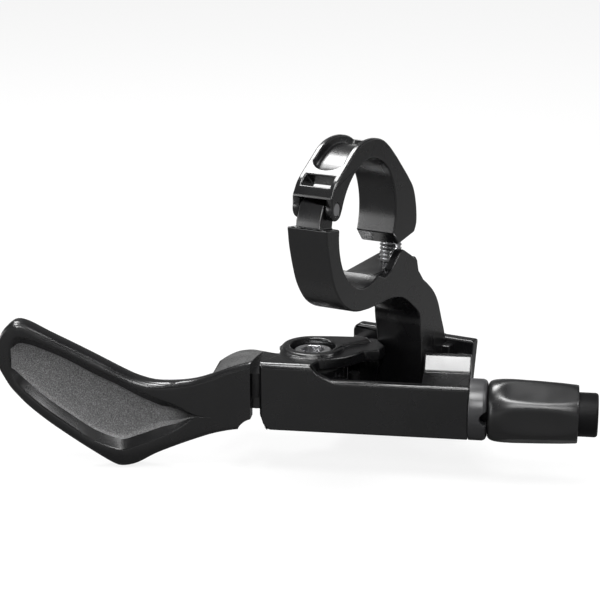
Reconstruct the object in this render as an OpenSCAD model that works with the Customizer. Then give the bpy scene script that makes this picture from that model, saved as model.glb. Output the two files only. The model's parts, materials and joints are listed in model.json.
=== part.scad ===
// Remote lever for a dropper seat post, clamped under a handlebar.
// Millimetres. Origin: centre of the bar clamp bore.
// X runs along the handlebar towards the cable, Y forward, away from the rider, Z up.

/* [Bar clamp] */
// Diameter of the handlebar
bar_d = 22.2; // [22.2:0.1:25.4]
// Width of the clamp along the bar
clamp_w = 7.3; // [6:0.1:10]
// Thickness of the clamp band
band_t = 3.3; // [2.8:0.1:4.2]
// Diameter of the hinge pin
pin_d = 2.1; // [1.8:0.1:2.4]
// Radius of the hinge knuckles
knuckle_r = 1.95; // [1.8:0.05:2.3]
// Angle of the hinge above the middle of the bar
hinge_a = 22.5; // [16:0.5:23]
// Width of the middle knuckle on the lower half
tongue_w = 4.5; // [3.4:0.1:4.8]
// Width of the groove over the upper half
groove_w = 5.2; // [4.6:0.1:5.6]
// Depth of that groove
groove_d = 1.4; // [0.8:0.1:1.8]
// Thread diameter of the clamp bolt
clamp_bolt_d = 4; // [3:0.5:5]
// Length of the clamp bolt under its head
clamp_bolt_l = 18; // [15:0.5:20]
// Diameter of the clamp bolt's head
clamp_head_d = 5.7; // [5.2:0.1:6]

/* [Leg] */
// Thickness of the leg, front to back
leg_t = 11.5; // [9:0.5:12]
// Width of the pad that bears on the mounting rail
pad_w = 10.4; // [9:0.2:14]
// Thread diameter of the leg bolt
leg_bolt_d = 5; // [4:0.5:6]
// Length of the leg bolt under its head
leg_bolt_l = 12; // [9:0.5:13]

/* [Bracket] */
// Angle from the handlebar to the cable
cable_yaw = 19.5; // [10:0.5:25]
// Length of the front wall
wall_l = 37.9; // [36:0.1:44]
// Thickness of the front wall
wall_t = 1.6; // [1.2:0.1:2]
// Radius of the front edge over the pivot
edge_r = 1.2; // [0.6:0.1:1.5]
// Height of the front wall along the cavity
wall_h = 10; // [9:0.1:11]
// Full height of the body, to the top of the plate
body_h = 12.8; // [12:0.1:14]
// Thickness of the top plate
top_t = 2.1; // [1.6:0.1:2.6]
// Thickness of the bottom plate
floor_t = 2.2; // [1.8:0.1:2.8]
// Length of the block that the adjuster screws into
block_l = 8.6; // [7:0.1:10]
// Length of the mounting rail along the bar
rail_l = 25.4; // [22:0.2:30]
// Thickness of the mounting rail
rail_t = 2.4; // [2:0.1:3]
// Height of the mounting rail above the base
rail_h = 11.3; // [10:0.1:12.4]

/* [Pivot] */
// Diameter of the pivot boss
boss_d = 11.8; // [11:0.1:13]
// Height of the boss above the plate
boss_h = 0.7; // [0.4:0.1:1.5]
// Diameter of the pivot bolt's shoulder
shoulder_d = 6; // [5:0.1:6.4]
// Wall of the pivot bushes
bush_t = 1; // [0.8:0.1:1.2]
// Thickness of the bush flanges
flange_t = 0.8; // [0.6:0.1:1]

/* [Lever] */
// Reach of the lever from the pivot to its tip
lever_l = 55.3; // [51:0.1:62]
// Thickness of the paddle
paddle_t = 4; // [3.4:0.1:5]
// Depth of the dish in the paddle
dish_d = 2; // [1:0.1:2.4]
// How far the paddle's tip sweeps back to the rider
sweep = 7; // [3:0.5:10]
// Diameter of the lever's hub
hub_d = 12.6; // [11.6:0.1:13]
// Distance from the pivot to the cable anchor
anchor_r = 6.4; // [6.2:0.1:6.6]
// Thread diameter of the cable anchor screw
anchor_d = 2.5; // [2:0.5:2.5]

/* [Adjuster] */
// Thread diameter of the adjuster barrel
thread_d = 6; // [5:0.5:6]
// Diameter of the detent collar
collar_d = 11.2; // [10:0.2:12]
// Length of the detent collar
collar_l = 3.3; // [2.6:0.1:4]
// Largest diameter of the knob
knob_d = 12.4; // [11.6:0.1:14]
// Length of the knob
knob_l = 16.1; // [14:0.1:20]
// Number of flats round the knob
knob_flats = 6; // [5:1:8]
// Diameter of the barrel's head
head_d = 8; // [7.6:0.1:8.4]
// How far the barrel's head stands out of the knob
head_out = 3.5; // [3:0.1:6]
// Diameter of the cable housing
housing_d = 5; // [4:0.5:5]
// Depth of the housing seat
seat_depth = 8; // [6:0.5:9]
// Diameter of the inner cable's passage
cable_d = 1.8; // [1.4:0.1:2.2]

/* [Clearances] */
// Radial gap of parts that turn in each other
run_gap = 0.05; // [0.02:0.01:0.08]
// Radial gap of screws in plain holes
screw_gap = 0.15; // [0.1:0.05:0.3]
// Gap between faces that move past each other
side_gap = 0.1; // [0.05:0.05:0.2]

/* [Hidden] */
$fn = 64;
eps = 0.01;

// Places that the pieces share
bar_r = bar_d / 2;
band_r = bar_r + band_t;
hinge = (bar_r + knuckle_r + 0.1) * [-cos(hinge_a), sin(hinge_a)];
bolt_y = bar_r + clamp_bolt_d / 2 + 3.9;
seat_z = 2.2;
pivot = [-13.7, 13.2];
base_z = -41.8;
rail_y = 35;
rail_x = -3.3;
wall_v = -9.8;
left_u = -8.6;
right_u = left_u + wall_l;
block_u = right_u - block_l;
inner_v = wall_v + wall_t;
top_w = body_h;
under_w = body_h - top_t;
cable_v = wall_v + thread_d / 2 + 1.3;
cable_w = thread_d / 2 + 1.5;
hub_w0 = floor_t + flange_t + side_gap / 2;
hub_w1 = under_w - flange_t - side_gap / 2;
anchor_a = -32;
anchor = anchor_r * [cos(anchor_a), sin(anchor_a)];
tail_r = anchor_d / 2 + 0.65;
tail_w1 = 8;
stop_d = 2;
stop_at = (anchor_r + 1.6) * [cos(anchor_a + 23), sin(anchor_a + 23)];
washer_t = 0.5;
pivot_head = 7.2;
ear_x = 2.05;
ear_z = -10.8;
bolt_head_w = top_w + boss_h - 2.1;
knob_u = right_u + collar_l + side_gap;
knob_end = knob_u + knob_l;
barrel_end = knob_end + head_out;
key_r = head_d / 2 + 0.7;
key_t = 1.4;
leg_z = base_z + floor_t;
coil_wire = 0.7;
spring_wire = 0.6;
spring_r = shoulder_d / 2 + bush_t + 0.2 + spring_wire / 2;
spring_pocket = 3;
sleeve_up = spring_pocket + 1.4;
sleeve_low = hub_w1 - hub_w0 - sleeve_up - 0.3;

module on_body() {
    translate([pivot[0], pivot[1], base_z]) rotate([0, 0, cable_yaw]) children();
}

module along_bar(w) {
    rotate([90, 0, 90]) linear_extrude(w, center = true) children();
}

module across(x0, x1) {
    translate([x0, 0, 0]) rotate([90, 0, 90]) linear_extrude(x1 - x0) children();
}

module along_cable() {
    translate([0, cable_v, cable_w]) rotate([0, 90, 0]) children();
}

// Smooth curve through points, open, Catmull-Rom
function bend(a, b, c, d, t) = 0.5 * ((2 * b) + (c - a) * t
    + (2 * a - 5 * b + 4 * c - d) * t * t + (3 * b - a - 3 * c + d) * t * t * t);
function smooth(p, n = 4) = let (m = len(p) - 1) [
    for (i = [0:m - 1], k = [0:n - 1])
        bend(p[max(i - 1, 0)], p[i], p[i + 1], p[min(i + 2, m)], k / n),
    p[m]
];
function arc(c, r, a0, a1, n = 16) = [
    for (i = [0:n]) c + r * [cos(a0 + (a1 - a0) * i / n), sin(a0 + (a1 - a0) * i / n)]
];

// Coil of round wire along Z
module coil(r, wire, turns, pitch, sides = 8, steps = 14) {
    m = round(turns * steps);
    polyhedron(
        points = [for (j = [0:m], i = [0:sides - 1])
            let (a = j * 360 / steps, b = i * 360 / sides, q = r + wire / 2 * cos(b))
                [q * cos(a), q * sin(a), pitch * j / steps + wire / 2 * sin(b)]],
        faces = concat(
            [[for (i = [0:sides - 1]) i]],
            [for (j = [0:m - 1], i = [0:sides - 1])
                [j * sides + i, (j + 1) * sides + i, (j + 1) * sides + (i + 1) % sides,
                 j * sides + (i + 1) % sides]],
            [[for (i = [sides - 1:-1:0]) m * sides + i]]
        ), convexity = 10);
}

// Clamp

module upper_outline() {
    crown = [[-14, 7.3], [-12.2, 9.4], [-9.2, 11.2], [-4.4, 13.8], [0, band_r], [4, 13.9], [7.2, 12.5], [11.4, 9.3],
             [17, 4.2], [18.9, 1.8], [20, -1.4], [20.2, -4.4], [19.2, -6]];
    difference() {
        polygon(concat(arc(hinge, knuckle_r, -hinge_a, -200, 28), smooth(crown),
                       [[12.4, -6.7], [10.3, -4.4], [0, 0]]));
        circle(bar_r);
    }
}

module clamp_groove() {
    difference() {
        union() {
            along_bar(groove_w) polygon(concat([[0, 0]], arc([0, 0], 22, 62, 124, 12)));
            // rounded lower end
            rotate([-56, 0, 0]) translate([0, -bar_r, 0]) rotate([90, 0, 0]) linear_extrude(8)
                polygon(concat([[groove_w / 2, 1], [-groove_w / 2, 1]],
                               arc([0, 0.9], groove_w / 2 + 0.25, 199, 341, 16)));
        }
        rotate([0, 90, 0]) cylinder(h = 20, r = band_r - groove_d, center = true);
    }
}

module clamp_upper() color("dimgray") {
    relief = knuckle_r + 0.2;
    difference() {
        along_bar(clamp_w) upper_outline();
        // room for the middle knuckle
        along_bar(tongue_w + 2 * side_gap) translate(hinge) {
            circle(relief);
            translate([-4, -6]) square([8, 7.7]);
        }
        // window above the hinge
        rotate([-38.5, 0, 0]) translate([0, -bar_r - band_t / 2, 0])
            cube([groove_w, band_t + 4, 2.2], center = true);
        clamp_groove();
        // clamp bolt, slotted for the swing of the half
        translate([0, bolt_y, 0]) {
            for (s = [-0.2, 0.3]) translate([0, -s, -10])
                cylinder(h = 20, r = clamp_bolt_d / 2 + 2 * screw_gap);
            translate([0, 0, seat_z]) cylinder(h = 20, r = clamp_head_d / 2 + 0.3);
        }
        translate([0, hinge[0], hinge[1]]) rotate([0, 90, 0])
            cylinder(h = 20, r = pin_d / 2 + run_gap, center = true);
    }
}

// Near side of the ear, which stands above its flat top
ear = smooth([[9.6, -10.9], [12, -9.3], [14.2, -8.1], [16.5, -9.1], [18.8, -10.4], [20.2, -11.8],
              [21.6, -13.7], [24, -16.1]]);

module lower_outline() {
    outer = [[-15.9, 2.3], [-15.35, -1], [-14.2, -4.7], [-12.55, -8.4], [-9.5, -11.95],
             [-5.1, -14.3], [0, -15.3], [5, -15.65], [10, -16], [15, -17.3],
             [19.2, -19.8], [22.2, -22.3], [22.7, -24.9], [23.2, -28.6], [rail_y - leg_t, -35.6]];
    back = [[rail_y, -31], [34.2, -28.6], [32.9, -26], [31.1, -22.3], [29, -19.7],
            [26.3, -17.6], [24, -16.1]];
    difference() {
        polygon(concat(smooth(outer), [[rail_y - leg_t, leg_z], [rail_y, leg_z]],
                       smooth(back), [[21.6, -13.7], [20.9, -11.6], [20.2, ear_z], [9.6, ear_z],
                                      [7, -11.4], [4.2, -10.2], [0, 0], [-8, 0.9]]));
        circle(bar_r);
    }
}

module clamp_lower() color("gray") {
    difference() {
        union() {
            along_bar(clamp_w) lower_outline();
            // middle knuckle
            along_bar(tongue_w) difference() {
                polygon(concat(arc(hinge, knuckle_r, -hinge_a, 140, 26),
                               [[-14.2, 5.7], [-15.4, 3.4], [-15.7, 1], [-14, -1], [-10, -1]]));
                circle(bar_r);
            }
            // flat top of the ear, and its higher near side
            across(-clamp_w / 2, ear_x) difference() {
                polygon([[2, ear_z], [11, ear_z], [11, -13], [2, -13]]);
                circle(bar_r);
            }
            across(ear_x, clamp_w / 2) polygon(concat(ear, [[20, -16], [9.6, -13]]));
            // the leg is wider on its far side
            intersection() {
                across(-8, 3) lower_outline();
                translate([0, 50, 0]) rotate([90, 0, 0]) linear_extrude(60)
                    polygon([[3, -17], [-3.65, -17.6], [-4.6, -19.2], [-5.4, -21.1], [-5.7, -23.2],
                             [-4.8, -37.5], [-4.8, leg_z], [3, leg_z]]);
            }
            // pad that bears on the rail
            translate([-pad_w / 2, rail_y - 2, leg_z]) cube([pad_w, 2, rail_h - 1 - floor_t]);
        }
        translate([0, hinge[0], hinge[1]]) rotate([0, 90, 0])
            cylinder(h = 20, r = pin_d / 2, center = true);
        translate([0, bolt_y, seat_z + washer_t - clamp_bolt_l - 0.6])
            cylinder(h = 30, r = clamp_bolt_d / 2);
        translate([0, rail_y + eps, base_z + rail_h / 2]) rotate([90, 0, 0])
            cylinder(h = leg_bolt_l - rail_t, r = leg_bolt_d / 2);
    }
}

module hinge_pin() color("silver")
    translate([0, hinge[0], hinge[1]]) rotate([0, 90, 0])
        cylinder(h = clamp_w - 0.2, r = pin_d / 2, center = true);

module cap_screw(d, l, head_h, socket, head_r) {
    difference() {
        union() {
            translate([0, 0, -l]) cylinder(h = l, r = d / 2);
            cylinder(h = head_h, r = head_r);
        }
        translate([0, 0, head_h - d * 0.55]) cylinder(h = d, r = socket / 2 / cos(30), $fn = 6);
    }
}

module washer(r, outer, t) {
    difference() {
        cylinder(h = t, r = outer);
        translate([0, 0, -1]) cylinder(h = t + 2, r = r + screw_gap);
    }
}

module clamp_bolt() color("silver")
    translate([0, bolt_y, seat_z + washer_t])
        cap_screw(clamp_bolt_d, clamp_bolt_l, 3, 3, clamp_head_d / 2);

module clamp_washer() color("lightgray")
    translate([0, bolt_y, seat_z]) washer(clamp_bolt_d / 2, clamp_head_d / 2, washer_t);

module leg_bolt() color("silver")
    translate([0, rail_y + rail_t + 1, base_z + rail_h / 2]) rotate([-90, 0, 0])
        cap_screw(leg_bolt_d, leg_bolt_l - 1, 3, 3, leg_bolt_d * 0.85);

module leg_washer() color("lightgray")
    translate([0, rail_y + rail_t, base_z + rail_h / 2]) rotate([-90, 0, 0])
        washer(leg_bolt_d / 2, leg_bolt_d * 0.95, 1);

// Bracket

module top_plate() {
    polygon([[left_u, wall_v], [0.6, wall_v], [1.9, -6.3], [4.4, -5], [6.6, -3.9],
             [9.6, 0.2], [12.2, 0.8], [13, 3.6], [11.6, 6.4], [2, 6.4], [-3.6, 5.2],
             [-6, 1], [-5.8, -4.2], [-7.2, -6.6], [left_u, inner_v]]);
}

module front_wall() {
    rotate([90, 0, 0]) translate([0, 0, -inner_v]) linear_extrude(wall_t)
        polygon([[left_u + 1.8, 0], [right_u, 0], [right_u, wall_h], [4.4, wall_h],
                 [2, top_w - 1.6], [0.6, top_w], [left_u, top_w], [left_u, 4.6],
                 [left_u + 0.2, 2.6], [left_u + 0.8, 1]]);
}

module end_block() {
    lip = -0.4;
    rotate([90, 0, 90]) translate([0, 0, block_u]) linear_extrude(block_l)
        polygon([[wall_v + 0.3, 0], [3.2, 0], [3.2, 8.5], [1.2, top_w - 0.3], [0.8, top_w],
                 [lip, top_w], [lip - 2.2, top_w - 2.4], [lip - 2.2, top_w - 2.8],
                 [lip - 2.7, top_w - 2.8], [lip - 2.7, top_w - 2.5],
                 [inner_v + 0.5, wall_h - 0.6], [wall_v + 0.3, wall_h - 0.6]]);
}

module mounting_rail() {
    x0 = rail_x - rail_l / 2;
    x1 = rail_x + rail_l / 2;
    translate([0, rail_y + rail_t, base_z]) rotate([90, 0, 0]) linear_extrude(rail_t)
        polygon(concat([[x0, 0], [x1 - 0.9, 0], [x1, rail_h]],
                       arc([x0 + 1.5, rail_h - 1.5], 1.5, 90, 180, 6)));
    // webs from the rail forward to the body
    for (x = [x0, x1 - 3.1])
        translate([x, 24.5, base_z]) cube([2.2, rail_y - 24.5 + eps, 8.5]);
    translate([x0, 21, base_z]) cube([rail_l - 0.9, rail_y - 21 + eps, floor_t]);
    translate([x0 + 6.2, 19.6, base_z])
        cube([3, 10, under_w + eps]);
}

module bracket() color("dimgray") {
    difference() {
        union() {
            on_body() {
                front_wall();
                end_block();
                translate([0, 0, under_w]) linear_extrude(top_t) top_plate();
                cylinder(h = floor_t, r = boss_d / 2 + 0.6);
                linear_extrude(floor_t)
                    polygon([[left_u + 1.2, wall_v + 0.3], [right_u, wall_v + 0.3], [right_u, 3.2],
                             [14, 8], [0, 6.5], [-6.5, 0]]);
                translate([0, 0, under_w]) cylinder(h = top_t + boss_h, r = boss_d / 2);
                translate([0, 0, top_w - eps]) linear_extrude(boss_h + eps)
                    polygon([[1, -4], [3.1, -0.6], [10, 5.1], [9.6, 6.4], [0, boss_d / 2]]);
            }
            mounting_rail();
        }
        on_body() {
            translate([0, 0, bolt_head_w]) cylinder(h = 5, r = pivot_head / 2 + 0.6);
            translate([0, 0, floor_t + 1]) cylinder(h = 12, r = shoulder_d / 2 + screw_gap);
            translate([0, 0, -1]) cylinder(h = 5, r = shoulder_d / 2 - 1);
            along_cable() translate([0, 0, block_u - 1]) cylinder(h = 20, r = thread_d / 2 + run_gap);
            translate([left_u, wall_v, -1]) linear_extrude(30)
                polygon([[-1, -1], [0.8, -1], [0.8, 0], [0.24, 0.24], [0, 0.8], [-1, 0.8]]);
            // rounded front edge of the plate
            across(left_u - 1, 3) polygon(concat([[wall_v - 1, top_w + 1], [wall_v - 1, top_w - edge_r],
                [wall_v, top_w - edge_r]], arc([wall_v + edge_r, top_w - edge_r], edge_r, 180, 90, 6),
                [[wall_v + edge_r, top_w + 1]]));
            // seat of the stop pin
            translate([stop_at[0], stop_at[1], 0.6]) cylinder(h = 5, r = stop_d / 2);
        }
        // slot in which the leg bolt slides along the rail
        translate([rail_x, rail_y - 1, base_z + rail_h / 2]) rotate([-90, 0, 0])
            for (s = [-1, 1]) translate([s * 3.3, 0, 0]) cylinder(h = 9, r = leg_bolt_d / 2 + screw_gap);
        translate([rail_x - 3.3, rail_y - 1, base_z + rail_h / 2 - leg_bolt_d / 2 - screw_gap])
            cube([6.6, 9, leg_bolt_d + 2 * screw_gap]);
    }
}

// Pivot

module pivot_bolt() color("silver") on_body() {
    difference() {
        union() {
            cylinder(h = bolt_head_w, r = shoulder_d / 2 - 1);
            translate([0, 0, floor_t])
                cylinder(h = bolt_head_w + washer_t - floor_t + 0.2, r = shoulder_d / 2);
            translate([0, 0, bolt_head_w + washer_t]) cylinder(h = 0.8, r = pivot_head / 2);
        }
        translate([0, 0, bolt_head_w - 1]) cylinder(h = 5, r = 2 / cos(30), $fn = 6);
    }
}

module pivot_washer() color("lightgray") on_body()
    translate([0, 0, bolt_head_w]) washer(shoulder_d / 2, pivot_head / 2, washer_t);

module stop_pin() color("silver") on_body()
    translate([stop_at[0], stop_at[1], 0.6]) cylinder(h = tail_w1 + 0.4, r = stop_d / 2);

module bush(l) {
    difference() {
        union() {
            cylinder(h = flange_t, r = shoulder_d / 2 + bush_t + 1.6);
            cylinder(h = l, r = shoulder_d / 2 + bush_t);
        }
        translate([0, 0, -1]) cylinder(h = l + 2, r = shoulder_d / 2 + run_gap);
    }
}

module bush_lower() color("khaki") on_body() translate([0, 0, hub_w0 - flange_t])
    bush(flange_t + sleeve_low);

module bush_upper() color("khaki") on_body() translate([0, 0, hub_w1 + flange_t]) mirror([0, 0, 1])
    bush(flange_t + sleeve_up);

// Lever

// Stations along the lever: u, top, bottom, dish top, dish bottom, dish depth share
lever_form = [
    [-55.3, 15.48, 13.22, 15.01, 13.66, 0], [-54.9, 17.28, 11.62, 15.61, 12.46, 0],
    [-54.2, 18.78, 10.02, 16.21, 11.46, 0], [-53.2, 19.88, 8.02, 16.61, 10.86, 0],
    [-52, 20.5, 6.35, 17.9, 8.8, 0.8], [-50.2, 20, 4.15, 17.7, 6.6, 1],
    [-47, 18, 1.05, 16.3, 3.4, 1], [-43, 15.7, -2.25, 14.2, 0.1, 1],
    [-39, 13.4, -5.25, 11.7, -2.9, 1], [-35.4, 11.3, -7.65, 9.8, -4.5, 1],
    [-33.6, 10.3, -8.05, 8.8, -4.8, 1], [-31.2, 9.14, -7.45, 7.38, -4.02, 1],
    [-28, 8.3, -5.7, 5.9, -2.8, 0.9], [-24, 8.4, -4, 4.4, -0.9, 0.6],
    [-20.4, 9, -2.6, 2.4, 1.7, 0.1], [-17, 10.2, -1.4, 2.2, 1.9, 0],
    [-13.6, 11.6, -0.6, 2.2, 1.9, 0], [-10.2, 12.7, -0.2, 2.2, 1.9, 0]
];

// The stations follow the reach
function at_reach(u) = -10.2 + (u + 10.2) * (lever_l - 10.2) / 45.1;
function face_v(u) = wall_v - sweep * pow(max(0, (-12 - u) / 43), 2);
function thick(u) = u < -30 ? paddle_t : max(2.6, paddle_t - (u + 30) * 0.1);
function ring(s) = let (
    u = at_reach(s[0]), t = min(thick(u), (s[1] - s[2]) * 0.8 + 0.6), r = min(1.1, (s[1] - s[2]) / 3, t / 2.5),
    v = face_v(u), d = dish_d * max(0, s[5]),
    lo = max(s[4], s[2] + r + 0.12), hi = min(s[3], s[1] - r - 0.12),
    dh = min(2.6, (hi - lo) / 3) * (s[5] > 0 ? 1 : 0.5)
) [
    [u, v + r, s[2]], [u, v + 0.3 * r, s[2] + 0.3 * r], [u, v, s[2] + r],
    [u, v, lo], [u, v + 0.15 * d, lo + 0.12 * dh], [u, v + 0.75 * d, lo + 0.7 * dh],
    [u, v + 0.97 * d, lo + dh], [u, v + d, lo * 0.65 + hi * 0.35],
    [u, v + d, lo * 0.35 + hi * 0.65], [u, v + 0.97 * d, hi - dh],
    [u, v + 0.75 * d, hi - 0.7 * dh], [u, v + 0.15 * d, hi - 0.12 * dh], [u, v, hi],
    [u, v, s[1] - r], [u, v + 0.3 * r, s[1] - 0.3 * r], [u, v + r, s[1]],
    [u, v + t - r, s[1]], [u, v + t - 0.3 * r, s[1] - 0.3 * r], [u, v + t, s[1] - r],
    [u, v + t, s[2] + r], [u, v + t - 0.3 * r, s[2] + 0.3 * r], [u, v + t - r, s[2]]
];

module paddle() {
    rows = smooth(lever_form, 3);
    rings = [for (s = rows) ring(s)];
    n = len(rings[0]);
    m = len(rings);
    polyhedron(
        points = [for (r = rings) for (p = r) p],
        faces = concat(
            [[for (i = [n - 1:-1:0]) i]],
            [for (j = [0:m - 2], i = [0:n - 1])
                [j * n + i, j * n + (i + 1) % n, (j + 1) * n + (i + 1) % n, (j + 1) * n + i]],
            [[for (i = [0:n - 1]) (m - 1) * n + i]]
        ), convexity = 6);
}

// Rear edge of the web, from the hub round the hump to the arm
web_rear = smooth([[-4, 5.4], [-7.4, 5], [-10.4, 6], [-12.6, 6.6], [-14.8, 5.4], [-16.4, 2.4],
                   [-17.8, -2.2], [-19.4, -6.2], [-22, -9.2], [-25, -9.6]]);

module lever_web() {
    polygon(concat([[2, 3], [0, hub_d / 2 - 0.2]], web_rear,
                   [[-25, -9.9], [-10.4, -7.4], [-9.4, -6.9], [-4, -6], [0, -5]]));
}

// Slope from the arm's upper edge back to the hump
module lever_shoulder() {
    rows = [[-10.3, 12.45, 5.9], [-11.6, 12, 6.3], [-13, 11.5, 6.3], [-14.6, 10.95, 5.3],
            [-15.8, 10.55, 3.4], [-17, 10.1, 0.4]];
    low = hub_w1 - 2;
    polyhedron(
        points = [for (r = rows) for (p = [[face_v(r[0]) + 1.2, low], [face_v(r[0]) + 1.2, r[1]],
            [(face_v(r[0]) + r[2]) / 2, (r[1] + hub_w1) / 2 + 0.25], [r[2], hub_w1], [r[2], low]])
                [r[0], p[0], p[1]]],
        faces = concat([[0, 1, 2, 3, 4]],
            [for (j = [0:len(rows) - 2], i = [0:4])
                [j * 5 + i, (j + 1) * 5 + i, (j + 1) * 5 + (i + 1) % 5, j * 5 + (i + 1) % 5]],
            [[for (i = [4:-1:0]) (len(rows) - 1) * 5 + i]]), convexity = 3);
}

module lever() color("dimgray") on_body() {
    difference() {
        union() {
            difference() {
                paddle();
                // scoop under the arm where it meets the body
                translate([-9.2, 0, -1.6]) rotate([90, 0, 0]) cylinder(h = 30, r = 2.3 + 1.4, center = true);
            }
            translate([0, 0, 5.2]) linear_extrude(3) lever_web();
            // the web keeps below the arm's upper edge where that edge drops
            translate([0, 0, 5.2]) linear_extrude(hub_w1 - 5.2) intersection() {
                lever_web();
                translate([-17.4, -20]) square([30, 40]);
            }
            lever_shoulder();
            translate([0, 0, hub_w0]) linear_extrude(hub_w1 - hub_w0)
                polygon([[-12, 4.6], [-12, -6.4], [-9.6, -6.9], [-3, -5.4], [0, 0], [-3, 5.4]]);
            translate([0, 0, hub_w0]) cylinder(h = hub_w1 - hub_w0, r = hub_d / 2);
            // tail that pulls the cable
            translate([anchor[0], anchor[1], hub_w0]) cylinder(h = tail_w1 - hub_w0, r = tail_r);
            translate([0, 0, hub_w0]) linear_extrude(tail_w1 - hub_w0)
                polygon([[0, 0], [5.8, -0.6], anchor + tail_r * [cos(20), sin(20)],
                         anchor + tail_r * [cos(-100), sin(-100)], [1, -5.6]]);
        }
        translate([0, 0, -1]) cylinder(h = 30, r = shoulder_d / 2 + bush_t);
        // pocket for the return spring
        translate([0, 0, hub_w1 - spring_pocket])
            cylinder(h = 10, r = spring_r + spring_wire / 2 + 0.15);
        translate([anchor[0], anchor[1], cable_w]) cylinder(h = 30, r = anchor_d / 2);
        // passage for the inner cable through the tail
        translate([anchor[0] - 4.2, anchor[1] + 0.1, cable_w]) rotate([0, 90, -6])
            cylinder(h = 20, r = cable_d / 2);
    }
}

module anchor_screw() color("silver") on_body()
    translate([anchor[0], anchor[1], cable_w + 0.7]) difference() {
        cylinder(h = tail_w1 - cable_w - 0.2, r = anchor_d / 2);
        translate([0, 0, tail_w1 - cable_w - 1.6]) cylinder(h = 5, r = 0.65 / cos(30), $fn = 6);
    }

// Adjuster

module detent_collar() color("gray") on_body() along_cable()
    difference() {
        translate([0, 0, right_u]) rotate_extrude() polygon([
            [thread_d / 2 + run_gap + 0.05, 0], [collar_d / 2, 0], [collar_d / 2, collar_l - 0.8],
            [collar_d / 2 - 0.25, collar_l - 0.25], [collar_d / 2 - 0.8, collar_l],
            [thread_d / 2 + run_gap + 0.05, collar_l]]);
        for (a = [0, 180]) rotate([0, 0, a]) translate([0, 0, right_u + collar_l]) rotate([90, 0, 0])
            cylinder(h = 20, r = 1.3);
    }

module adjuster_knob() color("slategray") on_body() along_cable()
    difference() {
        translate([0, 0, knob_u]) rotate_extrude() polygon(concat(
            [[thread_d / 2 + 0.3, 0], [knob_d / 2 - 1.7, 0]],
            smooth([[knob_d / 2 - 1.4, 0.15], [knob_d / 2 - 0.5, 1.2], [knob_d / 2, 3],
                    [knob_d / 2 - 0.05, 5], [knob_d / 2 - 0.2, 9], [knob_d / 2 - 0.6, knob_l - 0.3]], 3),
            [[knob_d / 2 - 0.9, knob_l], [head_d / 2 + side_gap, knob_l],
             [head_d / 2 + side_gap, 2.6], [thread_d / 2 + 0.3, 2.6]]));
        // slots for the barrel's keys
        translate([-key_r - side_gap, -key_t / 2 - side_gap, knob_u + 9])
            cube([2 * key_r + 2 * side_gap, key_t + 2 * side_gap, 30]);
        for (i = [0:knob_flats - 1]) rotate([0, 0, (i + 0.5) * 360 / knob_flats])
            translate([knob_d / 2 - 0.75, -6, knob_u + 3.4]) rotate([0, -2.4, 0]) cube([4, 12, 40]);
    }

module adjuster_barrel() color("silver") on_body() along_cable()
    difference() {
        union() {
            translate([0, 0, block_u + 1.4]) cylinder(h = barrel_end - 5 - block_u, r = thread_d / 2);
            translate([0, 0, knob_u + 9.4]) cylinder(h = barrel_end - knob_u - 9.4, r = head_d / 2);
            // keys that the knob turns
            translate([-key_r, -key_t / 2, knob_u + 9.4]) cube([2 * key_r, key_t, 5.6]);
        }
        translate([0, 0, block_u - 5]) cylinder(h = 60, r = cable_d / 2);
        translate([0, 0, barrel_end - seat_depth]) cylinder(h = 20, r = housing_d / 2 + screw_gap);
    }

module adjuster_spring() color("silver") on_body() along_cable()
    translate([0, 0, knob_u + 2.65 + coil_wire / 2])
        coil(head_d / 2 - 0.1 - coil_wire / 2, coil_wire, 4.5, (6.7 - coil_wire) / 4.5);

module return_spring() color("silver") on_body()
    translate([0, 0, hub_w1 - spring_pocket + 0.1 + spring_wire / 2])
        coil(spring_r, spring_wire, 3, (spring_pocket - 0.2 - spring_wire) / 3);

bracket();
clamp_lower();
clamp_upper();
hinge_pin();
clamp_bolt();
clamp_washer();
leg_bolt();
leg_washer();
lever();
pivot_bolt();
pivot_washer();
bush_upper();
bush_lower();
stop_pin();
anchor_screw();
return_spring();
detent_collar();
adjuster_knob();
adjuster_barrel();
adjuster_spring();
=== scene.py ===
# %% [markdown]
# # A remote lever for a dropper seat post
#
# The part clamps round a bicycle's handlebar beside the grip. The thumb pushes the paddle,
# the lever turns on its pivot and pulls a cable, and far away the seat post is free to move.
#
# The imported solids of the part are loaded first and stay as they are. Each one gets its
# finish here. The ones whose edges catch the light get a dressed copy with rounded edges,
# and three turned ones are modelled again with more detail. Blender works in metres here, in
# the frame of the solids: X along the handlebar, Y forward, Z up, and the origin at the
# centre of the bar's bore. Sizes in the script are in millimetres, and MM turns them into
# metres.

# %% Load the solids
import json
import math

import bmesh
import bpy
from mathutils import Matrix, Vector

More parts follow.
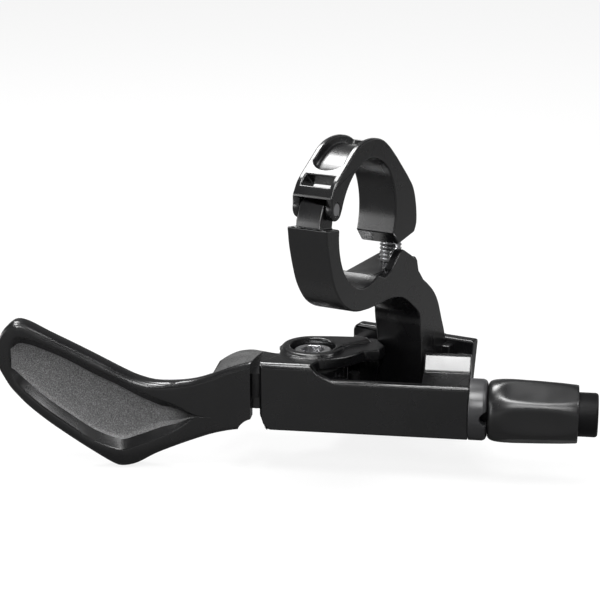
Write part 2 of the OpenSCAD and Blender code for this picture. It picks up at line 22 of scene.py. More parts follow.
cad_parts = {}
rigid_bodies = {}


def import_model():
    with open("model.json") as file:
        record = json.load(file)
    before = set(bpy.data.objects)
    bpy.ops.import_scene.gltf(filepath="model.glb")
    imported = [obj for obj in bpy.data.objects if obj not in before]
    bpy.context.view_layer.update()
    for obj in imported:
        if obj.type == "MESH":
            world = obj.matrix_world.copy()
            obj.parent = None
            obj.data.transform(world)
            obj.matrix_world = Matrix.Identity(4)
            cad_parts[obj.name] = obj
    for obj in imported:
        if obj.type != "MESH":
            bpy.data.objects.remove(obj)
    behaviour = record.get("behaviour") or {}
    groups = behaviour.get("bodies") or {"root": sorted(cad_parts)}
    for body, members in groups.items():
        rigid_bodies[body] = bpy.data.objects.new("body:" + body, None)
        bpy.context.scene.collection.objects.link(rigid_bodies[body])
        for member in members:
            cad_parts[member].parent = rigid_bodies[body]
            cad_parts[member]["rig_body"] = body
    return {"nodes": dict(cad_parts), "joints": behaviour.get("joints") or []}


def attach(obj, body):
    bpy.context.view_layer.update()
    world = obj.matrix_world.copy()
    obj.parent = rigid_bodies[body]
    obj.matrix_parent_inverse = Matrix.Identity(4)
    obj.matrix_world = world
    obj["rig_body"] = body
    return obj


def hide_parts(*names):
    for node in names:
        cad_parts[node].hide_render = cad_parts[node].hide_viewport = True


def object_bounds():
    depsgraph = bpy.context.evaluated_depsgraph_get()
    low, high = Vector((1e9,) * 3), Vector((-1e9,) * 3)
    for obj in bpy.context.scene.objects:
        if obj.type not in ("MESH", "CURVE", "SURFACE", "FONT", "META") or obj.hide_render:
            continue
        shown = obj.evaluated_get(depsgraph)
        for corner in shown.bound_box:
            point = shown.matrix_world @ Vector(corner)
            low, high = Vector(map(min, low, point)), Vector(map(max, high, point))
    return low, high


MM = 0.001
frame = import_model()
solid_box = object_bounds()
nodes = frame["nodes"]

# %% [markdown]
# ## The camera
#
# The photograph was taken from a little above, with the bar pointing away to the right. The
# viewpoint was worked out from things whose shape is known: the round bore of the clamp, the
# round end of the knob and the slopes of the straight rails. A camera could be placed by
# hand until the picture fits, but from two angles, a distance and a point to aim at it can
# be set exactly. The three directions of the view make up the camera's matrix: right, up,
# and back towards the photographer.

# %% The camera
AZIMUTH = math.radians(27.6)
ELEVATION = math.radians(17)
DISTANCE = 300
LENS = 105.7
AIM_LEFT = 8.433
AIM_DOWN = 13.475

right = Vector((math.cos(AZIMUTH), math.sin(AZIMUTH), 0))
back = Vector((math.sin(AZIMUTH) * math.cos(ELEVATION),
               -math.cos(AZIMUTH) * math.cos(ELEVATION), math.sin(ELEVATION)))
up = back.cross(right)
aim = (-AIM_LEFT * right - AIM_DOWN * up) * MM

camera_data = bpy.data.cameras.new("camera")
camera_data.sensor_width = 36
camera_data.lens = LENS
camera_data.clip_start = 0.01
camera_data.clip_end = 20
camera = bpy.data.objects.new("camera", camera_data)
bpy.context.scene.collection.objects.link(camera)
camera.matrix_world = Matrix((
    (right.x, up.x, back.x, 0), (right.y, up.y, back.y, 0),
    (right.z, up.z, back.z, 0), (0, 0, 0, 1)))
camera.location = aim + back * DISTANCE * MM
bpy.context.scene.camera = camera
print("camera", [round(c, 4) for c in camera.location])

# %% [markdown]
# ## Two small helpers for shaders
#
# A Light Path node tells what kind of ray has hit a surface. The camera sees one value, and
# a reflection or a soft bounce can be given another. The second helper below gives one where
# a ray of any of the named kinds arrives, and zero for all other rays.

# %% Helpers for shaders
def socket(shader, name, value):
    shader.inputs[name].default_value = value


def seen_rays(tree, kinds):
    """One where a ray of any of the kinds arrives, and zero for the others."""
    light_path = tree.nodes.new("ShaderNodeLightPath")
    total = light_path.outputs[kinds[0]]
    for kind in kinds[1:]:
        either = tree.nodes.new("ShaderNodeMath")
        either.operation = "MAXIMUM"
        tree.links.new(total, either.inputs[0])
        tree.links.new(light_path.outputs[kind], either.inputs[1])
        total = either.outputs[0]
    return total


print("helpers ready:", socket.__name__, seen_rays.__name__)

# %% [markdown]
# ## The floor
#
# A product like this is shot on a sheet of white paper. To the camera the floor is almost
# white by itself, with an Emission shader, and keeps a small share of its own shading, so
# the part still stands in a soft shadow. For all other rays it is a dark grey. A white floor
# would be mirrored by every black face that looks at it, and the part would turn grey.

# %% The floor
FLOOR_Z = solid_box[0][2] - 0.2 * MM
FLOOR_SEEN = (0.93, 0.93, 0.93, 1)
FLOOR_MIRRORED = (0.14, 0.14, 0.14, 1)
WHITE_SHARE = 0.86


def white_paper():
    """Paper that shows white to the camera and dark grey to every other ray."""
    paper = bpy.data.materials.new("white_paper")
    paper.use_nodes = True
    tree = paper.node_tree
    shader = tree.nodes["Principled BSDF"]
    socket(shader, "Roughness", 0.9)
    socket(shader, "Specular IOR Level", 0.0)
    pale = tree.nodes.new("ShaderNodeMix")
    pale.data_type = "RGBA"
    socket(pale, "A", FLOOR_MIRRORED)
    socket(pale, "B", FLOOR_SEEN)
    tree.links.new(seen_rays(tree, ["Is Camera Ray"]), pale.inputs["Factor"])
    tree.links.new(pale.outputs["Result"], shader.inputs["Base Color"])
    white = tree.nodes.new("ShaderNodeEmission")
    socket(white, "Strength", 1.0)
    share = tree.nodes.new("ShaderNodeMath")
    share.operation = "MULTIPLY"
    share.inputs[1].default_value = WHITE_SHARE
    tree.links.new(seen_rays(tree, ["Is Camera Ray"]), share.inputs[0])
    both = tree.nodes.new("ShaderNodeMixShader")
    tree.links.new(share.outputs[0], both.inputs["Fac"])
    tree.links.new(shader.outputs[0], both.inputs[1])
    tree.links.new(white.outputs[0], both.inputs[2])
    tree.links.new(both.outputs[0], tree.nodes["Material Output"].inputs["Surface"])
    return paper


bpy.ops.object.select_all(action="DESELECT")
bpy.ops.mesh.primitive_plane_add(size=6, location=(0, 0, FLOOR_Z))
floor = bpy.context.object
floor.name = "floor"
bpy.ops.object.transform_apply(location=True, rotation=True, scale=True)
floor.data.materials.append(white_paper())
print("floor at", round(FLOOR_Z / MM, 2), "mm")

# %% [markdown]
# ## The world
#
# The world is plain white, at two strengths. It lights the part softly and evenly, at a
# quarter strength. The camera sees it at strength one, which renders as pure white, and so
# do reflections along the horizon. Overhead the reflections fade to a dark grey, as in a
# studio whose ceiling is dark between its lamps, because the top faces of a black part are
# dark in the photograph and not milky.

# %% The world
SOFT_LIGHT = 0.25
OVERHEAD = 0.12
FADE_FROM = 0.02
FADE_TO = 0.2


def background(tree):
    shade = tree.nodes.new("ShaderNodeBackground")
    socket(shade, "Color", (1, 1, 1, 1))
    return shade


def mirrored_strength(tree):
    """One for the camera, and in reflections one at the horizon and OVERHEAD above."""
    direction = tree.nodes.new("ShaderNodeTexCoord")
    height = tree.nodes.new("ShaderNodeSeparateXYZ")
    tree.links.new(direction.outputs["Generated"], height.inputs[0])
    fade = tree.nodes.new("ShaderNodeMapRange")
    socket(fade, "From Min", FADE_FROM)
    socket(fade, "From Max", FADE_TO)
    socket(fade, "To Min", 1.0)
    socket(fade, "To Max", OVERHEAD)
    tree.links.new(height.outputs["Z"], fade.inputs["Value"])
    strength = tree.nodes.new("ShaderNodeMath")
    strength.operation = "MAXIMUM"
    tree.links.new(fade.outputs["Result"], strength.inputs[0])
    tree.links.new(seen_rays(tree, ["Is Camera Ray"]), strength.inputs[1])
    return strength.outputs[0]


def white_room():
    world = bpy.data.worlds.new("white_room")
    world.use_nodes = True
    tree = world.node_tree
    tree.nodes.clear()
    soft = background(tree)
    socket(soft, "Strength", SOFT_LIGHT)
    seen = background(tree)
    tree.links.new(mirrored_strength(tree), seen.inputs["Strength"])
    both = tree.nodes.new("ShaderNodeMixShader")
    kinds = ["Is Camera Ray", "Is Glossy Ray", "Is Transmission Ray"]
    tree.links.new(seen_rays(tree, kinds), both.inputs["Fac"])
    tree.links.new(soft.outputs[0], both.inputs[1])
    tree.links.new(seen.outputs[0], both.inputs[2])
    out = tree.nodes.new("ShaderNodeOutputWorld")
    tree.links.new(both.outputs[0], out.inputs["Surface"])
    return world


bpy.context.scene.world = white_room()
bpy.context.scene.view_settings.view_transform = "Standard"
print("world", bpy.context.scene.world.name)

# %% [markdown]
# ## The lamps
#
# Black metal shows almost nothing but reflections, so the lamps are small, bright panels
# whose reflections run along the edges and the crowns. Two hang high up and are mirrored by
# the top faces, two stand by the thumb rest, and two on the side of the cable light the
# rounded rims of the lever and the knob. A large lamp would lay one even veil over all of
# it. The camera doesn't see the panels themselves.

# %% Six panels
LAMPS_AIM = Vector((0, 0, -20)) * MM


def panel(name, place, size, power):
    """A lamp of a width and height in metres that looks at the part."""
    lamp = bpy.data.lights.new(name, "AREA")
    lamp.shape = "RECTANGLE"
    lamp.size, lamp.size_y = size
    lamp.energy = power
    thing = bpy.data.objects.new(name, lamp)
    bpy.context.scene.collection.objects.link(thing)
    thing.location = place
    thing.visible_camera = False
    toward = LAMPS_AIM - Vector(place)
    thing.rotation_euler = toward.to_track_quat("-Z", "Y").to_euler()
    return thing


panels = [
    panel("panel_above", (0.05, -0.15, 0.47), (0.16, 0.2), 1.9),
    panel("panel_behind", (-0.2, 0.16, 0.42), (0.18, 0.16), 1.8),
    panel("panel_left", (-0.44, -0.2, 0.05), (0.08, 0.2), 1.0),
    panel("panel_front", (-0.26, -0.42, 0.1), (0.1, 0.24), 0.35),
    panel("panel_right", (0.12, -0.2, 0.16), (0.08, 0.08), 0.3),
    panel("panel_cable_side", (0.3, 0.06, 0.26), (0.1, 0.14), 0.45)]
print("panels", [p.name for p in panels])

# %% [markdown]
# ## The grain that all finishes share
#
# Most of the part is black: satin anodised metal on the body, the clamp and the lever, a
# moulded knob, and a thumb rest that is textured like sand. Black needs small changes in
# roughness to look like anything. A node group is the way to say that once: it gives a fine
# grain, for the relief, and a slow mottling between two values, for the roughness. Each
# finish then uses the group with its own scale and its own two values. The noise reads
# Object coordinates, so it sticks to a piece that moves.

# %% The shared grain
def make_grain():
    group = bpy.data.node_groups.new("grain", "ShaderNodeTree")
    face = group.interface
    for name in ("Scale", "Low", "High"):
        face.new_socket(name, in_out="INPUT", socket_type="NodeSocketFloat")
    for name in ("Height", "Roughness"):
        face.new_socket(name, in_out="OUTPUT", socket_type="NodeSocketFloat")
    new, link = group.nodes.new, group.links.new
    given, result = new("NodeGroupInput"), new("NodeGroupOutput")
    where = new("ShaderNodeTexCoord")
    fine = new("ShaderNodeTexNoise")
    socket(fine, "Detail", 3)
    slow = new("ShaderNodeTexNoise")
    socket(slow, "Scale", 160)
    socket(slow, "Detail", 2)
    link(where.outputs["Object"], fine.inputs["Vector"])
    link(where.outputs["Object"], slow.inputs["Vector"])
    link(given.outputs["Scale"], fine.inputs["Scale"])
    spread = new("ShaderNodeMapRange")
    socket(spread, "From Min", 0.3)
    socket(spread, "From Max", 0.7)
    link(slow.outputs["Fac"], spread.inputs["Value"])
    link(given.outputs["Low"], spread.inputs["To Min"])
    link(given.outputs["High"], spread.inputs["To Max"])
    link(fine.outputs["Fac"], result.inputs["Height"])
    link(spread.outputs["Result"], result.inputs["Roughness"])
    return group


GRAIN = make_grain()
print("group", GRAIN.name)

# %% [markdown]
# ## The finish helper
#
# Every finish is a Principled shader with a colour, a roughness that wanders between two
# values, and a touch of relief from the grain. A coarse one may also have lighter grain tops:
# the tops of its grain take a second, lighter colour. That colour is partly the grit's own
# paler tone and partly a painted glint where light would catch the grain.

# %% The finish helper
GRAIN_HEIGHT = 0.03
GRIT_GLINTS_FROM = 0.42
GRIT_GLINTS_TO = 0.68


def finish(name, colour, low, high, scale=9000, bump=0.1, metal=0.0, gloss=0.5, grit_glint=None):
    """A material whose roughness lies between low and high."""
    material = bpy.data.materials.new(name)
    material.use_nodes = True
    tree = material.node_tree
    shader = tree.nodes["Principled BSDF"]
    socket(shader, "Base Color", (*colour, 1))
    socket(shader, "Metallic", metal)
    socket(shader, "Specular IOR Level", gloss)
    grain = tree.nodes.new("ShaderNodeGroup")
    grain.node_tree = GRAIN
    socket(grain, "Scale", scale)
    socket(grain, "Low", low)
    socket(grain, "High", high)
    tree.links.new(grain.outputs["Roughness"], shader.inputs["Roughness"])
    relief = tree.nodes.new("ShaderNodeBump")
    socket(relief, "Strength", bump)
    socket(relief, "Distance", GRAIN_HEIGHT * MM)
    tree.links.new(grain.outputs["Height"], relief.inputs["Height"])
    tree.links.new(relief.outputs["Normal"], shader.inputs["Normal"])
    # The lighter grain tops are partly the grit's own tone and partly painted glints.
    if grit_glint:
        tops = tree.nodes.new("ShaderNodeMapRange")
        socket(tops, "From Min", GRIT_GLINTS_FROM)
        socket(tops, "From Max", GRIT_GLINTS_TO)
        tree.links.new(grain.outputs["Height"], tops.inputs["Value"])
        tint = tree.nodes.new("ShaderNodeMix")
        tint.data_type = "RGBA"
        socket(tint, "A", (*colour, 1))
        socket(tint, "B", (*grit_glint, 1))
        tree.links.new(tops.outputs["Result"], tint.inputs["Factor"])
        tree.links.new(tint.outputs["Result"], shader.inputs["Base Color"])
    return material


print("helper ready:", finish.__name__)

# %% [markdown]
# ## The finishes
#
# The blacks are close to the darkest that a paint or an anodised skin can be. They differ
# in gloss: the metal is the shiniest, the knob a little less, and the barrel's end is dull.
# Steel shows on the bolts and the pins, and the bushes are a dark plastic.

# %% The finishes
DEEP_BLACK = (0.004, 0.004, 0.0045)
anodised = finish("black_anodised", DEEP_BLACK, 0.22, 0.3, gloss=0.8)
lever_black = finish("lever_black", DEEP_BLACK, 0.22, 0.3, gloss=0.8)
# The grip's grey and its lighter grain tops are partly the grit's own colour and partly painted
# sheen and glints.
thumb_grip = finish("thumb_grip", (0.07, 0.07, 0.071), 0.42, 0.52, scale=6000, bump=0.5,
                    gloss=0.8, grit_glint=(0.3, 0.3, 0.303))
collar_grey = finish("collar_grey", (0.035, 0.035, 0.037), 0.3, 0.4, gloss=0.6)
barrel_black = finish("barrel_black", DEEP_BLACK, 0.4, 0.5, gloss=0.2)
knob_black = finish("knob_black", (0.006, 0.006, 0.0065), 0.26, 0.36, gloss=0.75)
dark_steel = finish("dark_steel", (0.1, 0.1, 0.105), 0.3, 0.42, metal=1.0)
bright_steel = finish("bright_steel", (0.6, 0.6, 0.61), 0.22, 0.34, metal=1.0)
bush_plastic = finish("bush_plastic", (0.03, 0.03, 0.03), 0.5, 0.6)
print("finishes", [m.name for m in bpy.data.materials])

# %% [markdown]
# ## The thumb grip runs out
#
# On the real lever the sandy texture doesn't stop at a line. It runs out where the dish
# gets shallow, by the arm. A Map Range node on the X of the Object coordinates gives a share
# that goes from zero to one over five millimetres, and two Mix nodes lead the colour and the
# roughness over to those of the plain lever.

# %% The grip's end
GRIP_ENDS_FROM = -35.5
GRIP_ENDS_TO = -30.5
LEVER_ROUGHNESS = 0.26


def fade_out(material, colour, roughness, start, end):
    """Leads a finish over to a plain one between two places along X."""
    tree = material.node_tree
    shader = tree.nodes["Principled BSDF"]
    where = tree.nodes.new("ShaderNodeTexCoord")
    split = tree.nodes.new("ShaderNodeSeparateXYZ")
    share = tree.nodes.new("ShaderNodeMapRange")
    share.interpolation_type = "SMOOTHSTEP"
    socket(share, "From Min", start * MM)
    socket(share, "From Max", end * MM)
    tree.links.new(where.outputs["Object"], split.inputs["Vector"])
    tree.links.new(split.outputs["X"], share.inputs["Value"])
    for name, kind, plain in (("Base Color", "RGBA", (*colour, 1)),
                              ("Roughness", "FLOAT", roughness)):
        blend = tree.nodes.new("ShaderNodeMix")
        blend.data_type = kind
        ends = [x for x in blend.inputs if x.enabled and x.name in "AB"]
        tree.links.new(shader.inputs[name].links[0].from_socket, ends[0])
        ends[1].default_value = plain
        tree.links.new(share.outputs["Result"], blend.inputs["Factor"])
        result = [x for x in blend.outputs if x.enabled][0]
        tree.links.new(result, shader.inputs[name])


fade_out(thumb_grip, DEEP_BLACK, LEVER_ROUGHNESS, GRIP_ENDS_FROM, GRIP_ENDS_TO)
print("the grip ends between", GRIP_ENDS_FROM, "and", GRIP_ENDS_TO)

# %% [markdown]
# ## The body's own directions
#
# The body of the part is turned against the handlebar, so the lever swings in a slanted
# plane and the cable leaves at an angle. Sizes are easier to say along the body: u runs
# towards the cable, v forward and w up, all in millimetres, from the lever's pivot at the
# level of the body's underside. The joints of the frame say where the pivot is and which
# way the adjuster points.

# %% The body's directions
joints = {joint["name"]: joint for joint in frame["joints"]}
cable_axis = joints["adjuster_turn"]["axis"]
YAW = math.atan2(cable_axis[1], cable_axis[0])
pivot_at = joints["lever_swing"]["pos_m"]
UNDERSIDE = min(v.co.z for v in nodes["bracket"].data.vertices)
PIVOT = Vector((pivot_at[0], pivot_at[1], UNDERSIDE)) / MM


def in_body(point):
    """A point of the part, in millimetres along u, v and w."""
    p = Vector(point) / MM - PIVOT
    return Vector((p.x * math.cos(YAW) + p.y * math.sin(YAW),
                   p.y * math.cos(YAW) - p.x * math.sin(YAW), p.z))


def body_span(name):
    """The lowest and the highest u, v and w of a solid."""
    corners = [in_body(vertex.co) for vertex in nodes[name].data.vertices]
    return (Vector([min(c[k] for c in corners) for k in range(3)]),
            Vector([max(c[k] for c in corners) for k in range(3)]))


print("pivot", [round(c, 2) for c in PIVOT], "turned", round(math.degrees(YAW), 2))

# %% [markdown]
# ## Rounded edges
#
# A machined edge is never quite sharp: a radius of a few tenths of a millimetre catches a
# line of light, and that line is most of what shows a black part's shape. The solids have
# sharp edges, so each visible piece is a copy. Its doubled corners are merged, its flat
# faces are joined again, and a Bevel modifier rounds every edge that turns by more than an
# angle. The radius of each edge is its bevel weight, so some edges can be rounder than
# others. Weighted normals then keep the flat faces flat to the light.

# %% The dressing helper
MERGE = 1e-6


def select_only(thing):
    bpy.ops.object.select_all(action="DESELECT")
    thing.select_set(True)
    bpy.context.view_layer.objects.active = thing


def weigh_edges(mesh, bevel, angle, wide, flat):
    """Merges a mesh, gives its sharp edges their weights and returns the widest radius."""
    b = bmesh.new()
    b.from_mesh(mesh)
    bmesh.ops.remove_doubles(b, verts=b.verts, dist=MERGE)
    if flat:
        bmesh.ops.dissolve_limit(b, angle_limit=math.radians(flat), verts=b.verts, edges=b.edges)
    weight = b.edges.layers.float.new("bevel_weight_edge")
    radii = {}
    for edge in b.edges:
        if len(edge.link_faces) == 2 and edge.calc_face_angle(0) > math.radians(angle):
            middle = (edge.verts[0].co + edge.verts[1].co) / 2
            along = (edge.verts[1].co - edge.verts[0].co).normalized()
            radii[edge] = (wide and wide(middle / MM, in_body(middle), along)) or bevel
    widest = max([bevel, *radii.values()])
    for edge, radius in radii.items():
        edge[weight] = radius / widest
    b.to_mesh(mesh)
    b.free()
    return widest


def dress(name, material, bevel=0.25, steps=2, angle=32, smooth=35, wide=None, flat=2,
          clamp=False):
    """A copy of a solid with rounded edges. wide gives some edges their own radius."""
    source = nodes[name]
    mesh = source.data.copy()
    piece = bpy.data.objects.new(name + "_dressed", mesh)
    bpy.context.scene.collection.objects.link(piece)
    widest = weigh_edges(mesh, bevel, angle, wide, flat)
    mesh.materials.clear()
    mesh.materials.append(material)
    select_only(piece)
    rounding = piece.modifiers.new("edges", "BEVEL")
    rounding.width = widest * MM
    rounding.segments = steps
    rounding.limit_method = "WEIGHT"
    rounding.use_clamp_overlap = clamp
    bpy.ops.object.modifier_apply(modifier="edges")
    bpy.ops.object.shade_smooth_by_angle(angle=math.radians(smooth))
    evening = piece.modifiers.new("even", "WEIGHTED_NORMAL")
    evening.keep_sharp = True
    bpy.ops.object.modifier_apply(modifier="even")
    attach(piece, source["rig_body"])
    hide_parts(name)
    print(name, "faces", len(piece.data.polygons), "widest edge", widest)
    return piece


print("helper ready:", dress.__name__)

# %% [markdown]
# ## The bracket
#
# The bracket is one piece of metal with a front wall, a boss for the pivot, a block for the
# adjuster and a rail at the back. The photograph shows that its long front edge and the rim
# of its boss are rounder than the rest, and that each mirrors a line of light. A function
# says which edges those are, by where their middle lies.

# %% The bracket
ON_FACE = 0.05
WALL_TOP = 10
BOSS_CORE = 5.5
RAIL_TOP = -30.5
RAIL_BACK = 34.5
LONG_EDGE_ROUND = 0.9
BOSS_ROUND = 0.6
CORNER_ROUND = 0.45
RAIL_ROUND = 0.5
bracket_low, bracket_high = body_span("bracket")


def bracket_edges(p, q, along):
    """Rounder edges on the wall, round the boss and along the rail, in millimetres."""
    on_front = abs(q.y - bracket_low.y)
    if on_front < ON_FACE and abs(q.z - WALL_TOP) < ON_FACE:
        return LONG_EDGE_ROUND
    if abs(q.z - bracket_high.z) < ON_FACE and math.hypot(q.x, q.y) > BOSS_CORE:
        return BOSS_ROUND
    by_the_corner = q.x < bracket_low.x + 0.9 and q.y < bracket_low.y + 0.9
    if by_the_corner and abs(along.z) > 0.9:
        return CORNER_ROUND
    if on_front < 0.4 and q.z < 0.1:
        return CORNER_ROUND
    if abs(p.z - RAIL_TOP) < ON_FACE and p.y > RAIL_BACK:
        return RAIL_ROUND
    return None


dress("bracket", anodised, 0.28, steps=3, wide=bracket_edges)

# %% [markdown]
# ## The clamp
#
# The two halves of the clamp are alike in finish, so one radius does for both. Three steps
# in the bevel make it a real round, and on the thin cheeks of the groove it reads as a soft
# line.

# %% The clamp
for half in ("clamp_lower", "clamp_upper"):
    dress(half, anodised, 0.3, steps=3)

# %% [markdown]
# ## The lever
#
# The lever's outside is already round in the solid, so only its sharpest corners get a
# bevel, and a wide smoothing angle lets the light run over the rest. The clamp option stops
# a bevel where it would meet the next one, which the thin end of the dish needs.

# %% The lever
lever = dress("lever", lever_black, 0.15, angle=60, smooth=62, flat=0, clamp=True)

# %% [markdown]
# ## The textured thumb rest
#
# The texture lies in the dish and leaves its walls smooth. To find the dish's floor, each
# corner of the mesh is asked how far down the dish it lies. That needs two things of the
# real lever: its front face, which sweeps forward along a parabola, and the depth of the
# dish, which runs out towards both ends along a soft curve. The curve goes through a few
# stations and is cut into three between each two, as in the solid.

# %% How deep the dish is
SWEEP = 7
SWEEP_FROM = -12
SWEEP_RUN = 43
DISH_DEPTH = 2
STATION_CUTS = 3
DISH_STATIONS = [(-54.2, 0), (-53.2, 0), (-52, 0.8), (-50.2, 1), (-47, 1), (-33.6, 1),
                 (-31.2, 1), (-28, 0.9), (-24, 0.6), (-20.4, 0.1), (-17, 0)]


def between(a, b, c, d, t):
    """A soft curve from b to c that also knows the points before and after."""
    return 0.5 * (2 * b + (c - a) * t + (2 * a - 5 * b + 4 * c - d) * t ** 2
                  + (3 * b - a - 3 * c + d) * t ** 3)


def dish_rows():
    """Places along the lever with the share of the dish's depth there."""
    rows = []
    for a, b, c, d in zip(DISH_STATIONS, DISH_STATIONS[1:], DISH_STATIONS[2:],
                          DISH_STATIONS[3:]):
        for cut in range(STATION_CUTS):
            t = cut / STATION_CUTS
            rows.append((between(a[0], b[0], c[0], d[0], t), between(a[1], b[1], c[1], d[1], t)))
    return rows + [DISH_STATIONS[-2]]


DISH_ROWS = dish_rows()
print("rows of the dish", len(DISH_ROWS))

# %% [markdown]
# With that, a face belongs to the grip where all its corners lie low enough in the dish.
# The corners matter, and not the middle of the face, because a row of long triangles would
# otherwise be cut into a saw's teeth.

# %% The grip's faces
GRIP_ENDS = -20.5
LOW_ENOUGH = 0.66
TOO_LOW = 1.15
LEAST_SHARE = 0.02


def dish_share(u):
    """How deep the thumb rest is at a place along the lever, from 0 to 1."""
    for (u0, d0), (u1, d1) in zip(DISH_ROWS, DISH_ROWS[1:]):
        if u <= u1:
            return max(LEAST_SHARE, d0 + (d1 - d0) * (u - u0) / (u1 - u0))
    return LEAST_SHARE


def depth_share(point):
    """How far down the dish a point lies: 0 at the rim, and 1 on the floor."""
    q = in_body(point)
    if q.x > GRIP_ENDS:
        return 0
    rim = bracket_low.y - SWEEP * (max(0, SWEEP_FROM - q.x) / SWEEP_RUN) ** 2
    return (q.y - rim) / (DISH_DEPTH * dish_share(q.x))


lever.data.materials.append(thumb_grip)
shares = [depth_share(vertex.co) for vertex in lever.data.vertices]
grip_faces = [face for face in lever.data.polygons
              if all(LOW_ENOUGH < shares[k] < TOO_LOW for k in face.vertices)]
for face in grip_faces:
    face.material_index = 1
print("faces of the textured thumb rest", len(grip_faces))

# %% [markdown]
# ## The collar and the pivot bolt
#
# The collar between the block and the knob is a plain grey ring with notches, and a small
# bevel does. The pivot bolt's head is a low dome with a hexagon socket. The solid has a flat
# head, so its rim gets a bevel that is more than half as wide as the head is high.

# %% The collar and the pivot bolt
HEAD_CORE = 3.4
HEAD_ROUND = 0.55
pivot_bolt_top = body_span("pivot_bolt")[1].z


def head_edges(p, q, along):
    """A wide round on the rim of the pivot bolt's head."""
    on_rim = math.hypot(q.x, q.y) > HEAD_CORE and q.z > pivot_bolt_top - ON_FACE
    return HEAD_ROUND if on_rim else None


dress("detent_collar", collar_grey, 0.15)
dress("pivot_bolt", bright_steel, 0.1, wide=head_edges)

# %% [markdown]
# ## Turned pieces
#
# The knob, the barrel and the clamp bolt are turned on a lathe. By hand this is a circle
# that is extruded and scaled from one station to the next, and the helper does just that. It
# takes the outline as pairs of a place along the axis and a radius. Where an outline ends on
# the axis, its last ring is so small that merging the doubles closes it to one point.
# Normals are worked out again at the end, because a ring that is extruded backwards turns
# the wall inside out.

# %% The lathe
POLE = 0.0004


def turned(name, outline, segments=64):
    """A turned piece, standing on the origin with its axis along Z."""
    start_z, start_radius = outline[0]
    bpy.ops.object.select_all(action="DESELECT")
    bpy.ops.mesh.primitive_circle_add(vertices=segments, radius=start_radius * MM,
                                      location=(0, 0, start_z * MM))
    piece = bpy.context.object
    piece.name = name
    bpy.ops.object.transform_apply(location=True, rotation=True, scale=True)
    bpy.ops.object.mode_set(mode="EDIT")
    bpy.ops.mesh.select_all(action="SELECT")
    for (z0, r0), (z1, r1) in zip(outline, outline[1:]):
        bpy.ops.mesh.extrude_region_move(
            TRANSFORM_OT_translate={"value": (0, 0, (z1 - z0) * MM)})
        bpy.ops.transform.resize(value=(r1 / r0, r1 / r0, 1), center_override=(0, 0, z1 * MM))
    bpy.ops.mesh.select_all(action="SELECT")
    bpy.ops.mesh.remove_doubles(threshold=MERGE)
    bpy.ops.mesh.normals_make_consistent(inside=False)
    bpy.ops.object.mode_set(mode="OBJECT")
    return piece


def lay_along_cable(piece, u, v, w):
    """Lays a turned piece with its axis along the cable, from a place of the body."""
    piece.data.transform(
        Matrix.Translation(PIVOT * MM) @ Matrix.Rotation(YAW, 4, "Z")
        @ Matrix.Translation(Vector((u, v, w)) * MM) @ Matrix.Rotation(math.radians(90), 4, "Y"))


def settle(piece, node, material, smooth):
    """Gives a turned piece its finish and puts it in the place of a solid."""
    piece.data.materials.append(material)
    select_only(piece)
    bpy.ops.object.shade_smooth_by_angle(angle=math.radians(smooth))
    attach(piece, nodes[node]["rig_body"])
    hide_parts(node)
    print(piece.name, "faces", len(piece.data.polygons))


print("helpers ready:", turned.__name__, lay_along_cable.__name__, settle.__name__)

# %% [markdown]
# ## The knob
#
# The knob is a slim barrel with six flats that run out into its round nose. Its outline is
# turned first, with the bore that the barrel slides in. Each outer point is then drawn in to
# the nearest flat, softly at the corners, and less and less towards the nose, which gives
# the flats their rounded ends. Cutting the flats with a Boolean would leave them with sharp
# edges that the moulded knob doesn't have.

# %% The knob's outline
KNOB_NOSE = [(0, 4.75), (0.1, 5.0), (0.4, 5.3), (0.8, 5.48), (1.3, 5.6), (1.9, 5.7), (2.5, 5.8),
             (3.1, 5.87), (3.7, 5.92)]
KNOB_SIDE = [(4.4, 5.95), (5.4, 5.96), (7, 5.95), (9, 5.9), (11, 5.8), (13, 5.66), (14.6, 5.5),
             (15.7, 5.36), (15.95, 5.3), (16.1, 5.15)]
KNOB_BORE = [(16.1, 4.25), (15.95, 4.1), (2.6, 4.1), (2.6, 3.3), (0, 3.3), (0, 4.75)]
knob = turned("adjuster_knob_turned", KNOB_NOSE + KNOB_SIDE + KNOB_BORE, 96)
print("knob's outline", len(KNOB_NOSE + KNOB_SIDE + KNOB_BORE), "points")

# %% [markdown]
# The flats narrow a little towards the cable, and they start behind the nose.

# %% The knob's flats
FLAT_ANGLE = math.radians(60)
FLAT_REACH = 5.5
FLAT_TAPER = 0.034
FLATS_FROM = 0.7
FLATS_RUN = 3.2
TAPER_FROM = 3
CORNER_SOFTNESS = 0.1
FLAT_HOLLOW = 0.12
OUTSIDE = 4.7


def soft_step(x):
    x = min(1.0, max(0.0, x))
    return x * x * (3 - 2 * x)


def drawn_in(z, angle, radius):
    """The radius at a place on the knob, with the flats cut in behind the nose."""
    off = (angle + FLAT_ANGLE / 2) % FLAT_ANGLE - FLAT_ANGLE / 2
    flat_at = (FLAT_REACH - FLAT_TAPER * max(0, z - TAPER_FROM)) / math.cos(off)
    past = max(0.0, radius - flat_at)
    cut = math.hypot(past, CORNER_SOFTNESS) - CORNER_SOFTNESS + past * FLAT_HOLLOW
    return radius - soft_step((z - FLATS_FROM) / FLATS_RUN) * cut


for vertex in knob.data.vertices:
    x, y, z = vertex.co / MM
    radius = math.hypot(x, y)
    if radius > OUTSIDE:
        share = drawn_in(z, math.atan2(y, x) + FLAT_ANGLE / 2, radius) / radius
        vertex.co.x *= share
        vertex.co.y *= share

knob_low, knob_high = body_span("adjuster_knob")
CABLE_V = (knob_low.y + knob_high.y) / 2
CABLE_W = (knob_low.z + knob_high.z) / 2
lay_along_cable(knob, knob_low.x, CABLE_V, CABLE_W)
settle(knob, "adjuster_knob", knob_black, 50)

# %% [markdown]
# ## The barrel
#
# The cable housing plugs into the barrel. What shows is its end, a chamfered rim round a
# bore. The thin part before it lies inside the knob and the block, and a fine bore for the
# inner cable runs through all of it.

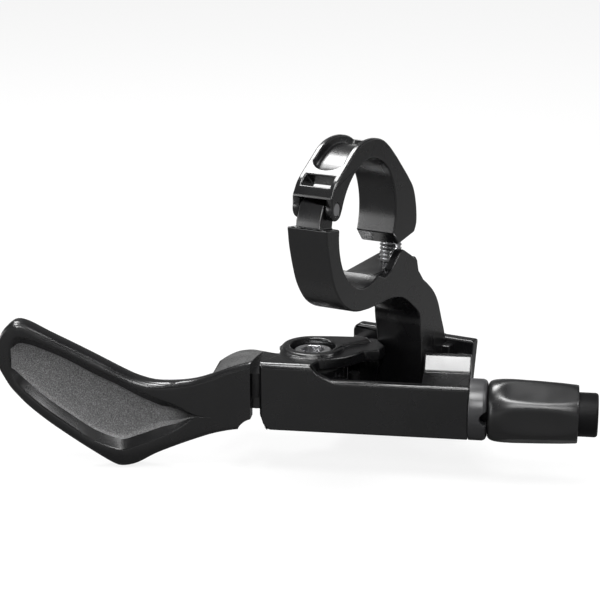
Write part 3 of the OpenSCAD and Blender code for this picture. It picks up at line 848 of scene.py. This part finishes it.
# %% The barrel
THREAD_R = 3
END_R = 4
END_FROM = 42
CABLE_BORE_R = 0.9
HOUSING_R = 2.65
HOUSING_DEPTH = 8
barrel_low, barrel_high = body_span("adjuster_barrel")
end_u = barrel_high.x
barrel = turned("adjuster_barrel_turned", [
    (barrel_low.x, CABLE_BORE_R), (barrel_low.x, THREAD_R - 0.2), (barrel_low.x + 0.2, THREAD_R),
    (END_FROM, THREAD_R), (END_FROM + 0.1, END_R), (end_u - 0.5, END_R), (end_u - 0.2, END_R - 0.1),
    (end_u, END_R - 0.35), (end_u, HOUSING_R + 0.35), (end_u - 0.2, HOUSING_R),
    (end_u - HOUSING_DEPTH, HOUSING_R), (end_u - HOUSING_DEPTH, CABLE_BORE_R),
    (barrel_low.x, CABLE_BORE_R)])
lay_along_cable(barrel, 0, CABLE_V, CABLE_W)
settle(barrel, "adjuster_barrel", barrel_black, 30)

# %% [markdown]
# ## The clamp bolt
#
# The clamp bolt shows its thread in the gap between the two halves, and its head sits on
# the upper one. The thread is a row of rings, one for each turn, which at this size can't be
# told from a real helix and keeps the mesh simple.

# %% The clamp bolt
BOLT_TIP = -15
BOLT_SEAT = 2.7
BOLT_HEAD_TOP = 4.2
BOLT_HEAD_R = 2.85
SOCKET_FLOOR = 2.9
SOCKET_R = 1.7
BOLT_TIP_R = 1.2
THREAD_PITCH = 0.7
THREAD_TURNS = 24
THREAD_ROOT_R = 1.72
THREAD_CREST_R = 2.0

bolt_form = [(BOLT_TIP, POLE), (BOLT_TIP, BOLT_TIP_R)]
for turn in range(THREAD_TURNS):
    at = BOLT_TIP + 0.2 + turn * THREAD_PITCH
    bolt_form += [(at, THREAD_ROOT_R), (at + THREAD_PITCH / 2, THREAD_CREST_R)]
bolt_form += [
    (BOLT_SEAT, THREAD_CREST_R), (BOLT_SEAT, BOLT_HEAD_R - 0.1), (BOLT_SEAT + 0.15, BOLT_HEAD_R),
    (BOLT_HEAD_TOP - 0.3, BOLT_HEAD_R), (BOLT_HEAD_TOP, BOLT_HEAD_R - 0.25),
    (BOLT_HEAD_TOP, SOCKET_R + 0.05), (SOCKET_FLOOR, SOCKET_R), (SOCKET_FLOOR, POLE)]
clamp_bolt = turned("clamp_bolt_turned", bolt_form, 36)
print("rings of the thread", THREAD_TURNS)

# %% [markdown]
# The bolt's socket is a hexagon. It is turned round like the rest, and its two rings are
# then drawn in to the six flats. The solid says where along Y the bolt stands.

# %% The hexagon socket
SOCKET_FLAT = 1.5
SIXTH = math.pi / 3

for vertex in clamp_bolt.data.vertices:
    x, y, z = vertex.co / MM
    radius = math.hypot(x, y)
    if z > SOCKET_FLOOR - 0.1 and abs(radius - SOCKET_R) < 0.1:
        off = (math.atan2(y, x) + SIXTH / 2) % SIXTH - SIXTH / 2
        share = SOCKET_FLAT / math.cos(off) / radius
        vertex.co.x *= share
        vertex.co.y *= share

bolt_ys = [vertex.co.y for vertex in nodes["clamp_bolt"].data.vertices]
clamp_bolt.data.transform(Matrix.Translation((0, (min(bolt_ys) + max(bolt_ys)) / 2, 0)))
settle(clamp_bolt, "clamp_bolt", bright_steel, 25)

# %% [markdown]
# ## The small pieces
#
# Pins, washers, bushes, springs and screws hardly show. They stay the solids they are and
# only take a finish.

# %% The small pieces
SMALL_PIECES = {
    "hinge_pin": bright_steel, "clamp_washer": dark_steel, "leg_bolt": dark_steel,
    "leg_washer": dark_steel, "pivot_washer": dark_steel, "bush_upper": bush_plastic,
    "bush_lower": bush_plastic, "return_spring": dark_steel, "stop_pin": dark_steel,
    "anchor_screw": dark_steel, "adjuster_spring": dark_steel}

for name, material in SMALL_PIECES.items():
    nodes[name].data.materials.clear()
    nodes[name].data.materials.append(material)
print("small pieces", len(SMALL_PIECES))
